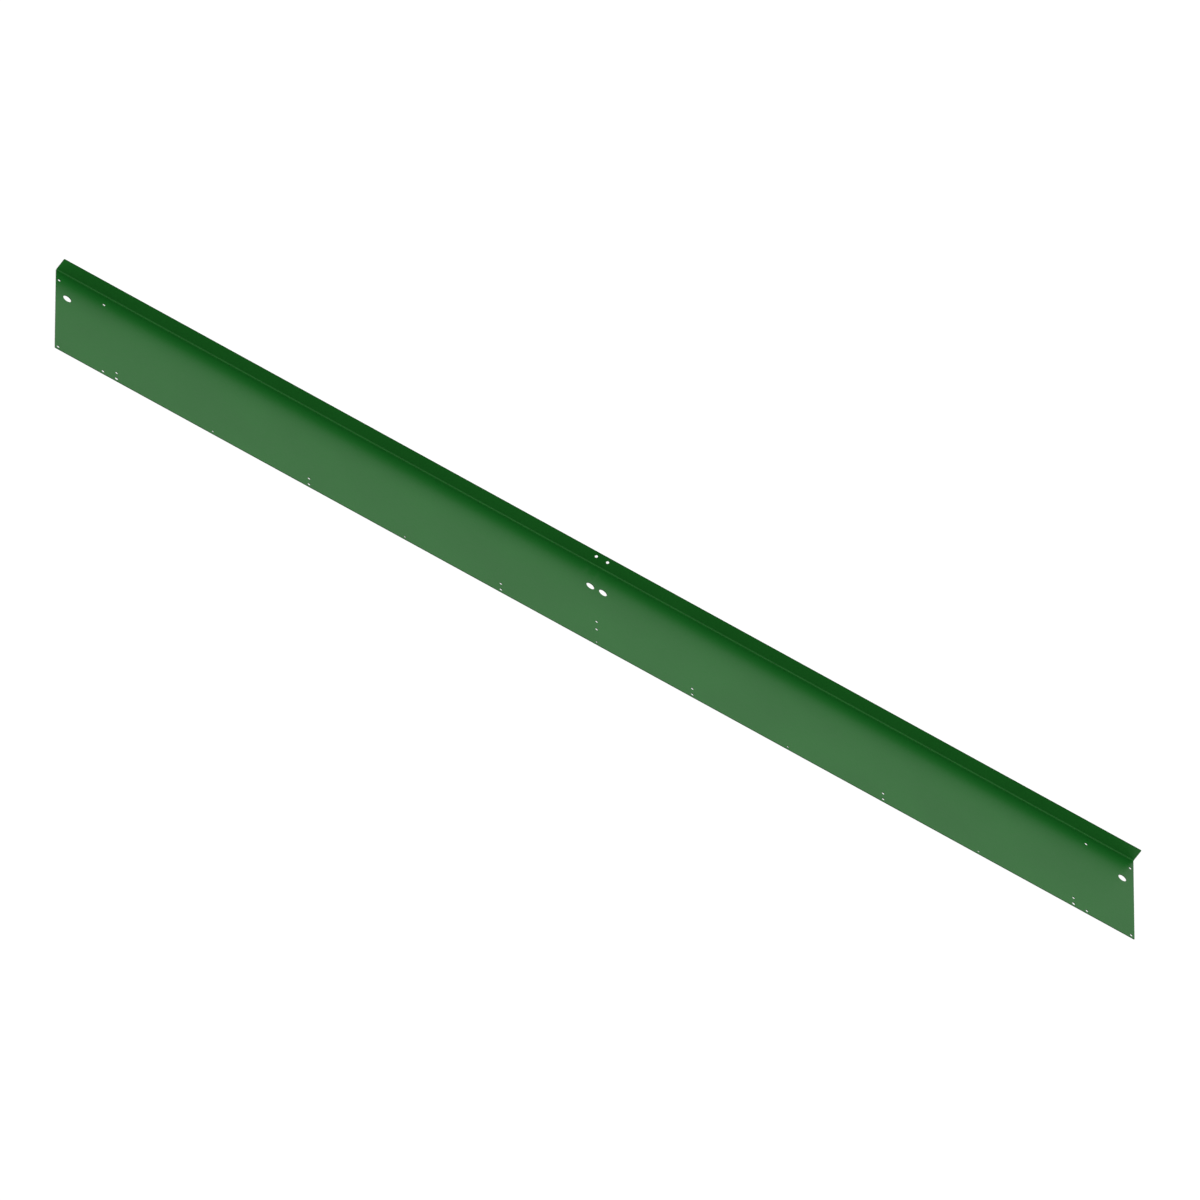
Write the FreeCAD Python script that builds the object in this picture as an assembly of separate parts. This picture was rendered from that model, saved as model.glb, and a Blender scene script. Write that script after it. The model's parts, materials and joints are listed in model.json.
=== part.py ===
import FreeCAD, Part
import math
import os

from FreeCAD import Vector

# Folded side panel of a slide: one sheet, cut with its holes and folded once along its length.
# It lies on its outer face. X runs along the panel, Y from the free edge to the fold, Z up the flange.
# The origin is at the middle of the length and of the width, at the level of the outer face.

# Sheet
panel_length = 2820.0
panel_width = 310.0         # free edge to the flange's outer face
flange_height = 34.0        # panel's outer face to the flange's tip
sheet_thickness = 1.5
bend_inside_radius = 3.0
corner_radius = 2.0         # the four outer corners of the blank

# Stations: evenly spaced along the lower row, counted from the middle of the length
station_pitch = 250.0
station_clear_of_end = 135.0   # nearest that a station may come to an end
lower_row_from_edge = 10.0
upper_row_from_edge = 32.5
column_hole_diameter = 6.6     # odd stations have two holes of this size, for M6
single_hole_diameter = 5.0     # even stations have one, for a self-tapping screw
last_lower_hole_diameter = 8.0   # the lower hole of the first and the last station

# Holes near each end
end_corner_from_end = 8.5
end_second_from_end = 125.0
end_upper_row_from_fold = 37.0   # from the flange's outer face
end_hole_diameter = 7.0

# Large holes, one near each end and a pair at the middle
large_hole_diameter = 20.6
large_row_from_fold = 92.5
large_from_end = 30.0
large_pair_spacing = 33.0

# Two small holes above each other at mid-length
middle_hole_diameter = 6.6
middle_first_from_edge = 60.0
middle_second_from_edge = 90.0

# Pair of holes in the flange at mid-length
flange_hole_diameter = 7.0
flange_hole_height = 22.0
flange_pair_spacing = 29.3

# How closely an edge has to lie where it is looked for
tolerance = 0.01

# Worked out from the sizes above
half_length = panel_length / 2
free_edge_y = -panel_width / 2
fold_y = panel_width / 2
bend_outside_radius = bend_inside_radius + sheet_thickness
end_upper_row_from_edge = panel_width - end_upper_row_from_fold
large_row_from_edge = panel_width - large_row_from_fold
cutter_length = 3 * sheet_thickness   # a cutter stands one thickness proud on both sides of the sheet


def arc_corner(centre_y, centre_z, radius):
    """Quarter circle of the bend, from the panel up to the flange."""
    middle = radius * math.sqrt(0.5)
    start = Vector(-half_length, centre_y, centre_z - radius)
    through = Vector(-half_length, centre_y + middle, centre_z - middle)
    end = Vector(-half_length, centre_y + radius, centre_z)
    return Part.Arc(start, through, end).toShape()


def folded_section():
    """Closed outline of the folded sheet, standing at one end of the panel."""
    bend_y = fold_y - bend_outside_radius
    bend_z = bend_outside_radius
    outer = arc_corner(bend_y, bend_z, bend_outside_radius)
    inner = arc_corner(bend_y, bend_z, bend_inside_radius)
    outer_edge = Vector(-half_length, free_edge_y, 0)
    inner_edge = Vector(-half_length, free_edge_y, sheet_thickness)
    outer_tip = Vector(-half_length, fold_y, flange_height)
    inner_tip = Vector(-half_length, fold_y - sheet_thickness, flange_height)
    lines = [
        Part.makeLine(outer_edge, outer.Vertexes[0].Point),
        outer,
        Part.makeLine(outer.Vertexes[-1].Point, outer_tip),
        Part.makeLine(outer_tip, inner_tip),
        Part.makeLine(inner_tip, inner.Vertexes[-1].Point),
        inner,
        Part.makeLine(inner.Vertexes[0].Point, inner_edge),
        Part.makeLine(inner_edge, outer_edge),
    ]
    return Part.Face(Part.Wire(lines))


def is_blank_corner(edge):
    """True for the short edges at the two ends of the free edge and of the flange's tip."""
    box = edge.BoundBox
    short = box.DiagonalLength < sheet_thickness + tolerance
    at_end = abs(abs(box.Center.x) - half_length) < tolerance and box.XLength < tolerance
    on_free_edge = abs(box.Center.y - free_edge_y) < tolerance
    on_tip = abs(box.Center.z - flange_height) < tolerance
    return short and at_end and (on_free_edge or on_tip)


def folded_sheet():
    """The sheet with its fold and rounded corners, before the holes."""
    sheet = folded_section().extrude(Vector(panel_length, 0, 0))
    corners = [edge for edge in sheet.Edges if is_blank_corner(edge)]
    return sheet.makeFillet(corner_radius, corners)


def panel_hole(x, from_edge, diameter):
    """Cutter through the wide panel, from_edge above the free edge."""
    start = Vector(x, free_edge_y + from_edge, -sheet_thickness)
    return Part.makeCylinder(diameter / 2, cutter_length, start, Vector(0, 0, 1))


def flange_hole(x, height, diameter):
    """Cutter through the flange, height above the panel's outer face."""
    start = Vector(x, fold_y - 2 * sheet_thickness, height)
    return Part.makeCylinder(diameter / 2, cutter_length, start, Vector(0, 1, 0))


def station_holes():
    """Lower row along the whole panel, with a second hole above each odd station."""
    last = int((half_length - station_clear_of_end) // station_pitch)
    cutters = []
    for station in range(-last, last + 1):
        x = station * station_pitch
        has_upper = station % 2 == 1
        diameter = column_hole_diameter if has_upper else single_hole_diameter
        if abs(station) == last:
            diameter = last_lower_hole_diameter
        cutters.append(panel_hole(x, lower_row_from_edge, diameter))
        if has_upper:
            cutters.append(panel_hole(x, upper_row_from_edge, column_hole_diameter))
    return cutters


def end_holes():
    """Four small holes and one large hole near each end."""
    cutters = []
    for side in (-1, 1):
        for from_end in (end_corner_from_end, end_second_from_end):
            x = side * (half_length - from_end)
            for from_edge in (lower_row_from_edge, end_upper_row_from_edge):
                cutters.append(panel_hole(x, from_edge, end_hole_diameter))
        x = side * (half_length - large_from_end)
        cutters.append(panel_hole(x, large_row_from_edge, large_hole_diameter))
    return cutters


def middle_holes():
    """Holes at mid-length, in the panel and in the flange."""
    cutters = []
    for from_edge in (middle_first_from_edge, middle_second_from_edge):
        cutters.append(panel_hole(0, from_edge, middle_hole_diameter))
    for side in (-1, 1):
        large_x = side * large_pair_spacing / 2
        flange_x = side * flange_pair_spacing / 2
        cutters.append(panel_hole(large_x, large_row_from_edge, large_hole_diameter))
        cutters.append(flange_hole(flange_x, flange_hole_height, flange_hole_diameter))
    return cutters


def side_panel():
    """The finished part: the folded sheet with every hole cut."""
    cutters = station_holes() + end_holes() + middle_holes()
    return folded_sheet().cut(cutters)


os.makedirs("parts", exist_ok=True)
nodes = {"side_panel": side_panel()}
for name, shape in nodes.items():
    shape.exportStep("parts/" + name + ".step")
    box = shape.BoundBox
    size = (round(box.XLength, 3), round(box.YLength, 3), round(box.ZLength, 3))
    print(name, "solids", len(shape.Solids), "valid", shape.isValid(), "size", size)
    print("faces", len(shape.Faces), "volume in cubic cm", round(shape.Volume / 1000, 2))
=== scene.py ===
import json
import math

import bpy
from mathutils import Matrix, Vector


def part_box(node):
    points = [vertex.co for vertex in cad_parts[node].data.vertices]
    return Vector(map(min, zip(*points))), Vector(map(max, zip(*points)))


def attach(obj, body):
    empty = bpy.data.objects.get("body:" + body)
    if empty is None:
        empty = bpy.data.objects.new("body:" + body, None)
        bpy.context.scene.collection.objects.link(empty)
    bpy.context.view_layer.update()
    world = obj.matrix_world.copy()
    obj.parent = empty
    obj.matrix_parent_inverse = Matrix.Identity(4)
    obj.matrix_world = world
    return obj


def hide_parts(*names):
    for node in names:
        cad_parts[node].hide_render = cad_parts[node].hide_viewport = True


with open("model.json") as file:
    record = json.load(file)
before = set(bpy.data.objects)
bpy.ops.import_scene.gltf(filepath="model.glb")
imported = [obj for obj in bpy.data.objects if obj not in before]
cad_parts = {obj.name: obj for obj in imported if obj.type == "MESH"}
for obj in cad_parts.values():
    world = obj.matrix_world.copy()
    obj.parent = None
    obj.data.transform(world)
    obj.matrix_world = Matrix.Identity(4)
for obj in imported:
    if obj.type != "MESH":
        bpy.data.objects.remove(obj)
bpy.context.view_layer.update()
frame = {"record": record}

# Folded side panel of a slide: one sheet of steel, punched, folded once and powder coated green.
# It lies on its outer face. X runs along it, Y from the free edge to the fold, Z up the flange.

mm = 0.001
near = 0.01 * mm             # closer than this counts as the same place
slight = 0.01                # a normal with less than this along an axis doesn't face that way
panelNode = "side_panel"
panelLow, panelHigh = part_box(panelNode)
mounts = {mount["name"]: mount for mount in frame["record"]["mounts"]}
print("frame loaded, panel box in mm", [round(v / mm, 2) for v in (panelHigh - panelLow)])


def isNear(one, other):
    return abs(one - other) < near


def hexToLinear(hexText):
    channels = [int(hexText[i:i + 2], 16) / 255 for i in (1, 3, 5)]
    linear = [c / 12.92 if c <= 0.04045 else ((c + 0.055) / 1.055) ** 2.4 for c in channels]
    return (*linear, 1.0)


def addNode(tree, kind, settings=None, links=None, label=""):
    # settings: property names, or socket names and numbers; links: socket name to another node's output
    node = tree.nodes.new(kind)
    node.label = label
    for key, value in (settings or {}).items():
        if isinstance(key, str) and hasattr(node, key):
            setattr(node, key, value)
        else:
            node.inputs[key].default_value = value
    for key, output in (links or {}).items():
        tree.links.new(output, node.inputs[key])
    return node


# the camera looks at the inner face, swung along the panel and leaned towards the free edge
camera = {
    "swingDegrees": 33.367,
    "leanDegrees": 56.447,
    "aim": (9.35 * mm, 29.69 * mm, 0.0),
    "frameWidth": 2.6212,
    "lens": 1600.0,          # very long, so that parallel edges stay nearly parallel
    "sensor": 36.0,
    "clipStart": 0.1,        # as shares of the distance to the panel
    "clipEnd": 3.0,
}


def makeCamera(settings):
    data = bpy.data.cameras.new("camera")
    data.lens = settings["lens"]
    data.sensor_width = settings["sensor"]
    distance = settings["frameWidth"] * settings["lens"] / settings["sensor"]
    data.clip_start = distance * settings["clipStart"]
    data.clip_end = distance * settings["clipEnd"]
    swing = Matrix.Rotation(-math.radians(settings["swingDegrees"]), 3, "Y")
    lean = Matrix.Rotation(math.radians(settings["leanDegrees"]), 3, "X")
    turn = swing @ lean
    made = bpy.data.objects.new("camera", data)
    bpy.context.scene.collection.objects.link(made)
    place = Vector(settings["aim"]) + turn @ Vector((0, 0, distance))
    made.matrix_world = Matrix.Translation(place) @ turn.to_4x4()
    bpy.context.scene.camera = made


makeCamera(camera)
print("camera ready")


powderCoat = {
    "pigment": "#175C1E",        # deep leaf green, before the gloss is added to it
    "pigmentThin": "#196020",    # where the coat is a little thinner
    "pigmentEdgeShade": "#123F17",    # painted shade on cut edges and rims, which sit darker than the faces beside them; the powder also draws back there from the dark steel
    "paintedFoldShade": "#10561A",    # painted shade inside the fold, where the flange shades the panel
    "foldShadeReach": 132 * mm,       # how far that shows across the panel
    "foldShadeFull": 13.2 * mm,       # and how far it keeps its full strength
    "foldShadeRise": 8 * mm,          # how far it shows up the flange
    "cloudSize": 190 * mm,       # slow drift of the coat's thickness along the spray pass
    "speckSize": 6 * mm,         # flow of the melted powder
    "speckShare": 0.35,          # weight of the flow beside the drift
    "thinFrom": 0.50,            # their sum where the thinner tone starts
    "thinTo": 0.85,              # and where it is complete
    "peelSize": 5 * mm,          # real orange peel is 1 to 3 mm, drawn coarser so that it shows
    "peelHeight": 0.1 * mm,
    "roughness": 0.36,
    "roughnessSpread": 0.03,     # to either side, with the flow
    "ior": 1.45,
    "glossLevel": 0.172,         # the matting agent in satin powder takes most of the resin's gloss away
}


def makePowderCoat(settings):
    # polyester powder, sprayed and baked: an even satin film that softens every reflection,
    # with a slight orange peel and only a faint drift of tone; painted shade darkens it in the fold and on
    # cut edges
    material = bpy.data.materials.new("satinGreenPowderCoatSprayedAndBaked")
    material.use_nodes = True
    tree = material.node_tree
    tree.nodes.clear()
    place = addNode(tree, "ShaderNodeTexCoord")
    where = place.outputs["Object"]
    cloud = addNode(tree, "ShaderNodeTexNoise",
                    {"Scale": 1 / settings["cloudSize"], "Detail": 2.0, "Roughness": 0.45},
                    {"Vector": where}, "coat thickness")
    speck = addNode(tree, "ShaderNodeTexNoise",
                    {"Scale": 1 / settings["speckSize"], "Detail": 3.0, "Roughness": 0.6},
                    {"Vector": where}, "powder flow")
    peel = addNode(tree, "ShaderNodeTexNoise",
                   {"Scale": 1 / settings["peelSize"], "Detail": 1.0, "Roughness": 0.4},
                   {"Vector": where}, "orange peel")
    edge = addNode(tree, "ShaderNodeAttribute", {"attribute_name": "cutEdge"})
    thickness = addNode(tree, "ShaderNodeMath",
                        {"operation": "MULTIPLY_ADD", 1: settings["speckShare"]},
                        {0: speck.outputs["Fac"], 2: cloud.outputs["Fac"]})
    thin = addNode(tree, "ShaderNodeMapRange",
                   {"From Min": settings["thinFrom"], "From Max": settings["thinTo"]},
                   {"Value": thickness.outputs[0]})
    body = addNode(tree, "ShaderNodeMix",
                   {"data_type": "RGBA", 6: hexToLinear(settings["pigment"]),
                    7: hexToLinear(settings["pigmentThin"])},
                   {0: thin.outputs["Result"]}, "film")
    inside = addNode(tree, "ShaderNodeAttribute", {"attribute_name": "foldShadeFaces"})
    axes = addNode(tree, "ShaderNodeSeparateXYZ", links={"Vector": where})
    acrossPanel = addNode(tree, "ShaderNodeMapRange",
                          {"interpolation_type": "SMOOTHSTEP",
                           "From Min": panelHigh.y - settings["foldShadeReach"],
                           "From Max": panelHigh.y - settings["foldShadeFull"]},
                          {"Value": axes.outputs["Y"]})
    upFlange = addNode(tree, "ShaderNodeMapRange",
                       {"interpolation_type": "SMOOTHSTEP", "From Min": 0.0,
                        "From Max": settings["foldShadeRise"], "To Min": 1.0, "To Max": 0.0},
                       {"Value": axes.outputs["Z"]})
    # painted shade: the film darkens across the panel near the fold and a little way up the flange, on the
    # faces inside it
    nearFold = addNode(tree, "ShaderNodeMath", {"operation": "MULTIPLY"},
                       {0: acrossPanel.outputs["Result"], 1: upFlange.outputs["Result"]})
    foldShadeAmount = addNode(tree, "ShaderNodeMath", {"operation": "MULTIPLY"},
                     {0: nearFold.outputs[0], 1: inside.outputs["Fac"]})
    shaded = addNode(tree, "ShaderNodeMix",
                     {"data_type": "RGBA", 7: hexToLinear(settings["paintedFoldShade"])},
                     {0: foldShadeAmount.outputs[0], 6: body.outputs[2]}, "painted shade inside the fold")
    # painted shade: cut edges and hole rims get a darker film colour
    colour = addNode(tree, "ShaderNodeMix",
                     {"data_type": "RGBA", 7: hexToLinear(settings["pigmentEdgeShade"])},
                     {0: edge.outputs["Fac"], 6: shaded.outputs[2]}, "painted shade at cut edges")
    spread = settings["roughnessSpread"]
    gloss = addNode(tree, "ShaderNodeMapRange",
                    {"From Min": 0.3, "From Max": 0.7,
                     "To Min": settings["roughness"] - spread, "To Max": settings["roughness"] + spread},
                    {"Value": speck.outputs["Fac"]}, "gloss drift")
    bump = addNode(tree, "ShaderNodeBump", {"Strength": 1.0, "Distance": settings["peelHeight"]},
                   {"Height": peel.outputs["Fac"]})
    shader = addNode(tree, "ShaderNodeBsdfPrincipled",
                     {"IOR": settings["ior"], "Specular IOR Level": settings["glossLevel"]},
                     {"Base Color": colour.outputs[2], "Roughness": gloss.outputs["Result"],
                      "Normal": bump.outputs["Normal"]})
    addNode(tree, "ShaderNodeOutputMaterial", links={"Surface": shader.outputs[0]})
    return material


coatMaterial = makePowderCoat(powderCoat)
print("powder coat mixed")


panel = {
    "insideRadius": 3.0 * mm,        # of the fold
    "bendSteps": 14,
    "crossLines": 10,                # divide the sheet between its 11 stations of holes
    "cutterSides": 56,
    "cutterReach": 8 * mm,           # how far a punch passes through the sheet, in all
    "cornerRadius": 2.0 * mm,        # the blank's four outer corners
    "cornerSteps": 6,
    "edgeRadius": 0.25 * mm,         # deburred and coated cut edges
    "edgeSteps": 3,
    "edgeDegrees": 40,               # an edge that turns more than this is a cut edge
}


def holeList():
    # every hole is in a bolt pattern of the record: its middle, its spacings and its radius
    holes = []
    for mount in mounts.values():
        if mount["kind"] != "bolt_pattern":
            continue
        dims = mount["dims"]
        inFlange = abs(mount["axis"][1]) > 0.5        # its axis is along Y
        halfAlong = Vector((dims.get("spacing_x_mm", 0) * mm / 2, 0, 0))
        halfAcross = Vector((0, dims.get("spacing_y_mm", 0) * mm / 2, 0))
        alongSigns = (-1, 1) if halfAlong.length else (0,)
        acrossSigns = (-1, 1) if halfAcross.length else (0,)
        for i in alongSigns:
            for j in acrossSigns:
                centre = Vector(mount["pos_m"]) + i * halfAlong + j * halfAcross
                holes.append((centre, dims["hole_r_mm"] * mm, inFlange))
    return holes


def punchPoints(holes):
    # one loose point per hole, with its radius and which wall it goes through
    mesh = bpy.data.meshes.new("punchPoints")
    mesh.from_pydata([centre for centre, radius, inFlange in holes], [], [])
    radii = mesh.attributes.new("holeRadius", "FLOAT", "POINT")
    radii.data.foreach_set("value", [radius for centre, radius, inFlange in holes])
    walls = mesh.attributes.new("inFlange", "FLOAT", "POINT")
    walls.data.foreach_set("value", [float(inFlange) for centre, radius, inFlange in holes])
    made = bpy.data.objects.new("sidePanel", mesh)
    bpy.context.scene.collection.objects.link(made)
    return made


def panelTree():
    tree = bpy.data.node_groups.new("foldedPanel", "GeometryNodeTree")
    tree.interface.new_socket("Geometry", in_out="OUTPUT", socket_type="NodeSocketGeometry")
    tree.interface.new_socket("Punch Points", in_out="INPUT", socket_type="NodeSocketGeometry")
    for name in ("Length", "Width", "Flange Height", "Thickness", "Inside Radius", "Cutter Reach"):
        tree.interface.new_socket(name, in_out="INPUT", socket_type="NodeSocketFloat")
    for name in ("Bend Steps", "Cutter Sides", "Cross Lines"):
        tree.interface.new_socket(name, in_out="INPUT", socket_type="NodeSocketInt")
    tree.interface.new_socket("Coat", in_out="INPUT", socket_type="NodeSocketMaterial")
    given = addNode(tree, "NodeGroupInput").outputs

    # mid-line of the sheet: free edge, corner of the fold, tip of the flange
    halfSheet = addNode(tree, "ShaderNodeMath", {"operation": "MULTIPLY", 1: 0.5}, {0: given["Thickness"]})
    freeEdge = addNode(tree, "ShaderNodeMath", {"operation": "MULTIPLY", 1: -0.5}, {0: given["Width"]})
    farEdge = addNode(tree, "ShaderNodeMath", {"operation": "MULTIPLY", 1: 0.5}, {0: given["Width"]})
    foldLine = addNode(tree, "ShaderNodeMath", {"operation": "SUBTRACT"},
                       {0: farEdge.outputs[0], 1: halfSheet.outputs[0]})
    startPoint = addNode(tree, "ShaderNodeCombineXYZ",
                         links={"Y": freeEdge.outputs[0], "Z": halfSheet.outputs[0]})
    cornerPoint = addNode(tree, "ShaderNodeCombineXYZ",
                          links={"Y": foldLine.outputs[0], "Z": halfSheet.outputs[0]})
    tipPoint = addNode(tree, "ShaderNodeCombineXYZ",
                       links={"Y": foldLine.outputs[0], "Z": given["Flange Height"]})
    line = addNode(tree, "GeometryNodeCurvePrimitiveLine",
                   links={"Start": startPoint.outputs[0], "End": tipPoint.outputs[0]})
    threePoints = addNode(tree, "GeometryNodeResampleCurve", {"Count": 3}, {"Curve": line.outputs[0]})
    index = addNode(tree, "GeometryNodeInputIndex")
    isMiddle = addNode(tree, "FunctionNodeCompare", {"data_type": "INT", "operation": "EQUAL", 3: 1},
                       {2: index.outputs[0]})
    corner = addNode(tree, "GeometryNodeSetPosition",
                     links={"Geometry": threePoints.outputs[0], "Selection": isMiddle.outputs[0],
                            "Position": cornerPoint.outputs[0]})
    midRadius = addNode(tree, "ShaderNodeMath", {"operation": "ADD"},
                        {0: given["Inside Radius"], 1: halfSheet.outputs[0]})
    folded = addNode(tree, "GeometryNodeFilletCurve", {"mode": "POLY"},
                     {"Curve": corner.outputs[0], "Count": given["Bend Steps"],
                      "Radius": midRadius.outputs[0]})

    # the sheet: its section drawn along the mid-line. The section is divided on its two long sides,
    # which start at its even points, so that no sliver of a face runs from a hole to a corner
    # and spoils the bevels
    section = addNode(tree, "GeometryNodeCurvePrimitiveQuadrilateral",
                      links={"Width": given["Length"], "Height": given["Thickness"]})
    isShortSide = addNode(tree, "ShaderNodeMath", {"operation": "MODULO", 1: 2.0}, {0: index.outputs[0]})
    isLongSide = addNode(tree, "ShaderNodeMath", {"operation": "SUBTRACT", 0: 1.0},
                         {1: isShortSide.outputs[0]})
    lines = addNode(tree, "ShaderNodeMath", {"operation": "MULTIPLY"},
                    {0: isLongSide.outputs[0], 1: given["Cross Lines"]})
    divided = addNode(tree, "GeometryNodeSubdivideCurve",
                      links={"Curve": section.outputs[0], "Cuts": lines.outputs[0]})
    sheet = addNode(tree, "GeometryNodeCurveToMesh", {"Fill Caps": True},
                    {"Curve": folded.outputs[0], "Profile Curve": divided.outputs[0]}, "sheet")

    # the punches: one cylinder at each point, turned to go through the flange where it is asked
    cutter = addNode(tree, "GeometryNodeMeshCylinder", {"Radius": 1.0, "Depth": 1.0},
                     {"Vertices": given["Cutter Sides"]})
    radius = addNode(tree, "GeometryNodeInputNamedAttribute", {"data_type": "FLOAT", "Name": "holeRadius"})
    inFlange = addNode(tree, "GeometryNodeInputNamedAttribute", {"data_type": "FLOAT", "Name": "inFlange"})
    quarterTurn = addNode(tree, "ShaderNodeMath", {"operation": "MULTIPLY", 1: math.pi / 2},
                          {0: inFlange.outputs["Attribute"]})
    turn = addNode(tree, "ShaderNodeCombineXYZ", links={"X": quarterTurn.outputs[0]})
    size = addNode(tree, "ShaderNodeCombineXYZ",
                   links={"X": radius.outputs["Attribute"], "Y": radius.outputs["Attribute"],
                          "Z": given["Cutter Reach"]})
    punches = addNode(tree, "GeometryNodeInstanceOnPoints",
                      links={"Points": given["Punch Points"], "Instance": cutter.outputs["Mesh"],
                             "Rotation": turn.outputs[0], "Scale": size.outputs[0]})
    solidPunches = addNode(tree, "GeometryNodeRealizeInstances", links={"Geometry": punches.outputs[0]})
    punched = addNode(tree, "GeometryNodeMeshBoolean", {"operation": "DIFFERENCE", "solver": "EXACT"},
                      {"Mesh 1": sheet.outputs[0], "Mesh 2": solidPunches.outputs[0]}, "punched")

    real = addNode(tree, "GeometryNodeRealizeInstances", links={"Geometry": punched.outputs["Mesh"]})
    coated = addNode(tree, "GeometryNodeSetMaterial",
                     links={"Geometry": real.outputs[0], "Material": given["Coat"]})
    addNode(tree, "NodeGroupOutput", links={0: coated.outputs[0]})
    return tree


def setInputs(modifier, values):
    for item in modifier.node_group.interface.items_tree:
        if item.in_out == "INPUT" and item.name in values:
            modifier[item.identifier] = values[item.name]


def asPlainMesh(piece, name):
    # the evaluated result takes the place of the object's mesh and its modifiers
    depsgraph = bpy.context.evaluated_depsgraph_get()
    mesh = bpy.data.meshes.new_from_object(piece.evaluated_get(depsgraph), depsgraph=depsgraph)
    mesh.name = name
    piece.modifiers.clear()
    piece.data = mesh


def roundBlankCorners(piece, settings):
    # the four edges through the sheet at the ends of the free edge and of the flange's tip
    mesh = piece.data
    weights = mesh.attributes.new("bevel_weight_edge", "FLOAT", "EDGE")
    for edge in mesh.edges:
        one, other = [mesh.vertices[i].co for i in edge.vertices]
        atEnd = isNear(one.x, other.x) and (isNear(one.x, panelLow.x) or isNear(one.x, panelHigh.x))
        onFreeEdge = isNear(one.y, panelLow.y) and isNear(other.y, panelLow.y)
        onTip = isNear(one.z, panelHigh.z) and isNear(other.z, panelHigh.z)
        if atEnd and (onFreeEdge or onTip):
            weights.data[edge.index].value = 1.0
    bevel = piece.modifiers.new("blankCorners", "BEVEL")
    bevel.limit_method = "WEIGHT"
    bevel.width = settings["cornerRadius"]
    bevel.segments = settings["cornerSteps"]
    asPlainMesh(piece, "sidePanel")


def roundCutEdges(piece, settings):
    bevel = piece.modifiers.new("deburredEdges", "BEVEL")
    bevel.limit_method = "ANGLE"
    bevel.angle_limit = math.radians(settings["edgeDegrees"])
    bevel.width = settings["edgeRadius"]
    bevel.segments = settings["edgeSteps"]
    bevel.loop_slide = False              # the same width all round, also where faces are divided
    bevel.use_clamp_overlap = False       # the clamp would stop at half a step round the smallest holes
    asPlainMesh(piece, "sidePanel")


def isOnSheetFace(polygon, thickness):
    # True on the flat faces of the panel and of the flange, inner and outer
    flat = 0.9999
    level = polygon.center.z - panelLow.z
    depth = panelHigh.y - polygon.center.y
    onPanel = abs(polygon.normal.z) > flat and (isNear(level, 0) or isNear(level, thickness))
    onFlange = abs(polygon.normal.y) > flat and (isNear(depth, 0) or isNear(depth, thickness))
    return onPanel or onFlange


def isInBend(polygon, settings, thickness):
    # True on the two rounded strips of the fold, and not on its cut ends, which face along X
    size = settings["insideRadius"] + thickness
    inBend = polygon.center.y > panelHigh.y - size and polygon.center.z < panelLow.z + size
    return inBend and abs(polygon.normal.x) < slight


def shadeAndMark(piece, settings, thickness):
    # sheet faces are shaded flat, and the bend, hole walls and rims round;
    # the coat reads which faces are cut edges and which are inside the fold, where it paints shade
    mesh = piece.data
    cutEdge = mesh.attributes.new("cutEdge", "FLOAT", "FACE")
    foldShadeFaces = mesh.attributes.new("foldShadeFaces", "FLOAT", "FACE")
    for polygon in mesh.polygons:
        onSheet = isOnSheetFace(polygon, thickness)
        inBend = isInBend(polygon, settings, thickness)
        facesInward = polygon.normal.z > slight or polygon.normal.y < -slight
        polygon.use_smooth = not onSheet
        cutEdge.data[polygon.index].value = float(not (onSheet or inBend))
        foldShadeFaces.data[polygon.index].value = float(onSheet and facesInward)


def makePanel(settings):
    thickness = mounts["panel_inner_face"]["pos_m"][2]
    piece = punchPoints(holeList())
    modifier = piece.modifiers.new("foldedPanel", "NODES")
    modifier.node_group = panelTree()
    setInputs(modifier, {
        "Length": panelHigh.x - panelLow.x,
        "Width": panelHigh.y - panelLow.y,
        "Flange Height": panelHigh.z - panelLow.z,
        "Thickness": thickness,
        "Inside Radius": settings["insideRadius"],
        "Cutter Reach": settings["cutterReach"],
        "Bend Steps": settings["bendSteps"],
        "Cross Lines": settings["crossLines"],
        "Cutter Sides": settings["cutterSides"],
        "Coat": coatMaterial,
    })
    asPlainMesh(piece, "sidePanel")
    roundBlankCorners(piece, settings)
    roundCutEdges(piece, settings)
    shadeAndMark(piece, settings, thickness)
    return piece


sidePanel = makePanel(panel)
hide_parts(panelNode)
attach(sidePanel, "root")
print("panel folded and punched, faces", len(sidePanel.data.polygons))


# a pale light table under an even white sky
studio = {
    "floorSize": 400.0,          # so wide that no view from a few degrees up reaches its end
    "floorDrop": 0.2 * mm,       # the panel lies just clear of the table
    "floorColour": "#B4B4B4",
    "glowColour": "#FFFFFF",
    "floorGlow": 0.57,           # lights the table where the panel shades it, as under the holes
    "skyColour": "#FFFFFF",
    "skyAtHorizon": 0.93,
    "skyOverhead": 1.22,
    "skySeen": 1.2,              # what the camera sees of it, past the end of the floor
}


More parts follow.
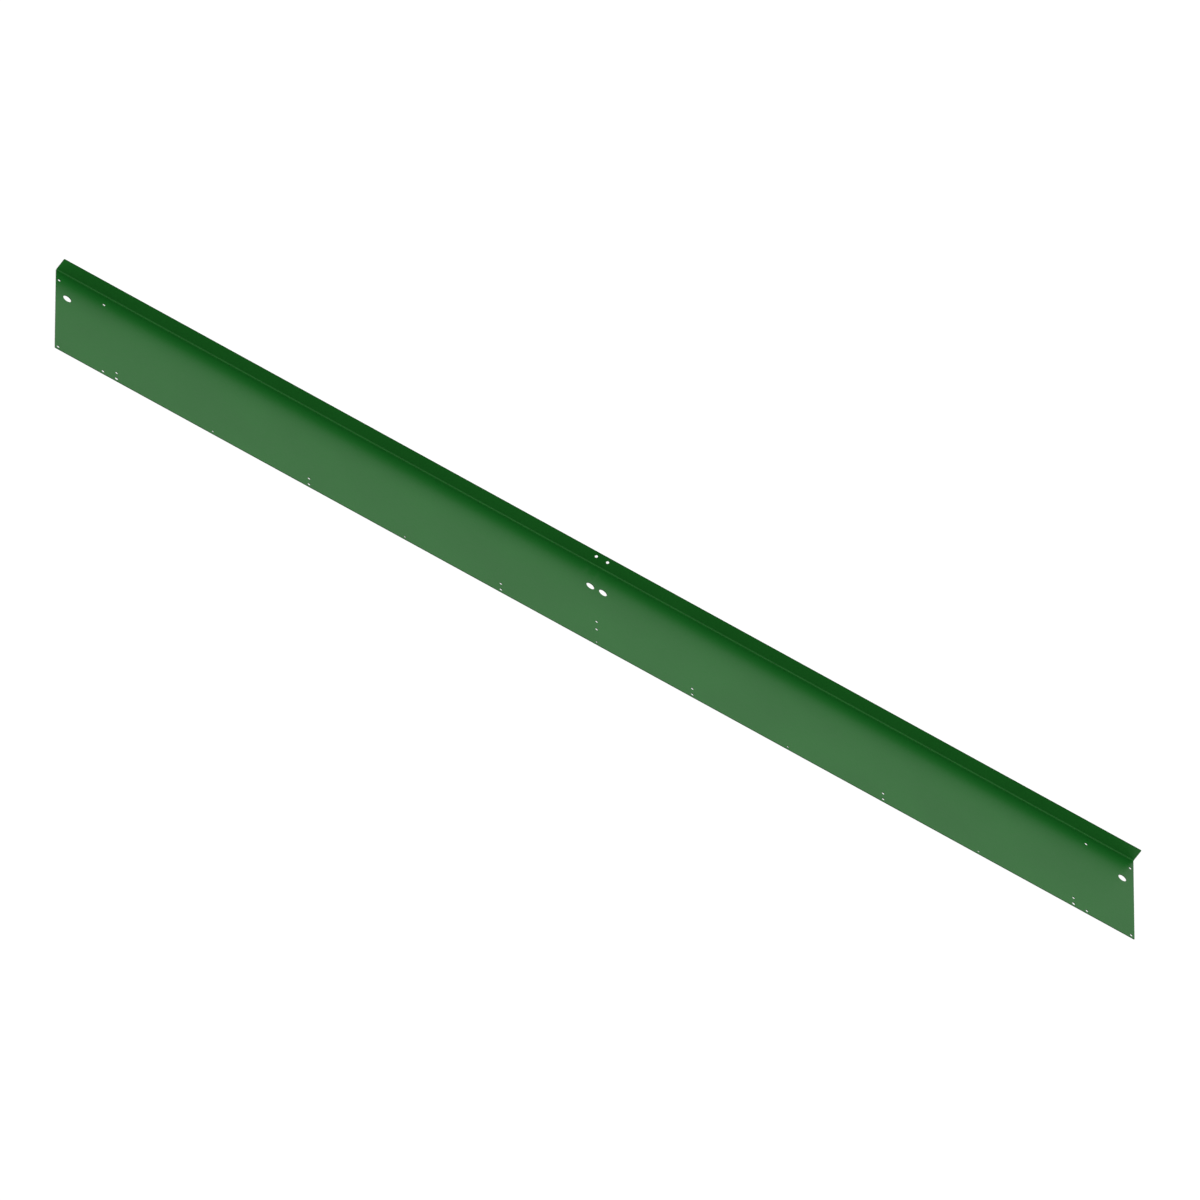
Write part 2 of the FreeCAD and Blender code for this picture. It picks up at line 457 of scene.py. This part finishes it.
def makeSky(settings):
    # an even white dome, a little stronger overhead than at the horizon
    world = bpy.data.worlds.new("sky")
    world.use_nodes = True
    tree = world.node_tree
    tree.nodes.clear()
    direction = addNode(tree, "ShaderNodeTexCoord")
    axes = addNode(tree, "ShaderNodeSeparateXYZ", links={"Vector": direction.outputs["Generated"]})
    strength = addNode(tree, "ShaderNodeMapRange",
                       {"To Min": settings["skyAtHorizon"], "To Max": settings["skyOverhead"]},
                       {"Value": axes.outputs["Z"]})
    rays = addNode(tree, "ShaderNodeLightPath")
    shown = addNode(tree, "ShaderNodeMix", {"data_type": "FLOAT", 3: settings["skySeen"]},
                    {0: rays.outputs["Is Camera Ray"], 2: strength.outputs["Result"]})
    background = addNode(tree, "ShaderNodeBackground", {"Color": hexToLinear(settings["skyColour"])},
                         {"Strength": shown.outputs[0]})
    addNode(tree, "ShaderNodeOutputWorld", links={"Surface": background.outputs[0]})
    return world


def makeStudio(settings):
    half = settings["floorSize"] / 2
    level = panelLow.z - settings["floorDrop"]
    corners = [(-half, -half, level), (half, -half, level), (half, half, level), (-half, half, level)]
    mesh = bpy.data.meshes.new("floor")
    mesh.from_pydata(corners, [], [(0, 1, 2, 3)])
    floor = bpy.data.objects.new("floor", mesh)
    bpy.context.scene.collection.objects.link(floor)
    # frosted opal acrylic over lamps: dull, evenly white where it shows through the holes,
    # and with only a faint shadow beside the panel
    acrylic = bpy.data.materials.new("frostedOpalAcrylicLightTable")
    acrylic.use_nodes = True
    shader = acrylic.node_tree.nodes["Principled BSDF"]
    shader.inputs["Base Color"].default_value = hexToLinear(settings["floorColour"])
    shader.inputs["Roughness"].default_value = 1.0
    shader.inputs["Specular IOR Level"].default_value = 0.0
    shader.inputs["Emission Color"].default_value = hexToLinear(settings["glowColour"])
    shader.inputs["Emission Strength"].default_value = settings["floorGlow"]
    mesh.materials.append(acrylic)
    bpy.context.scene.world = makeSky(settings)
    bpy.context.scene.view_settings.view_transform = "Standard"
    bpy.context.scene.view_settings.look = "None"


makeStudio(studio)
print("studio lit")
